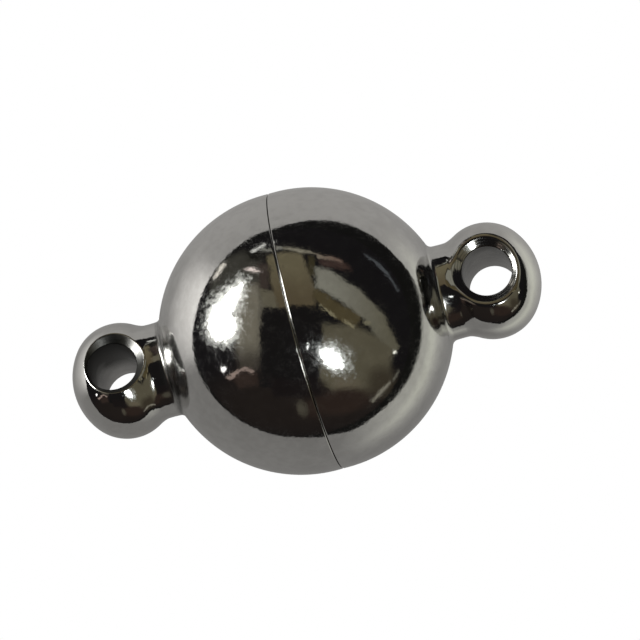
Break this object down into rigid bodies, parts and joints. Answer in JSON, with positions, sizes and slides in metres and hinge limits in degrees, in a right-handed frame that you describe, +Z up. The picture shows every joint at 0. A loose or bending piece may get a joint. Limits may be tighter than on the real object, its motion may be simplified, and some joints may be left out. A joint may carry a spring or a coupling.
{
  "type": "magnetic clasp",
  "caption": "Round magnetic ball clasp for a necklace or bracelet: polished metal halves with short necks and drilled eyes that snap shut on hidden disc magnets.",
  "frame": {"origin": "middle of the seam, on the clasp axis, which is also the centre of the ball", "axes": "+X along the clasp axis towards the right eye; +Z up, from the table the clasp lies on; +Y away from the viewer"},
  "size_m": [0.017, 0.01, 0.01],
  "materials": {
    "polished_steel": "mirror-polished stainless steel",
    "magnet": "satin nickel plating on a disc magnet"
  },
  "bodies": {
    "left_body": {"left_half": "polished_steel", "left_magnet": "magnet"},
    "right_core": {"right_magnet": "magnet"},
    "right_body": {"right_half": "polished_steel"}
  },
  "joints": [
    {"name": "pull_apart", "type": "slide", "parent": "left_body", "child": "right_core", "axis": [1, 0, 0], "range_m": [0, 0.012], "stiffness_N_per_m": 2, "springref_m": -0.05},
    {"name": "twist", "type": "hinge", "parent": "right_core", "child": "right_body", "pos_m": [0, 0, 0], "axis": [1, 0, 0], "continuous": true}
  ]
}
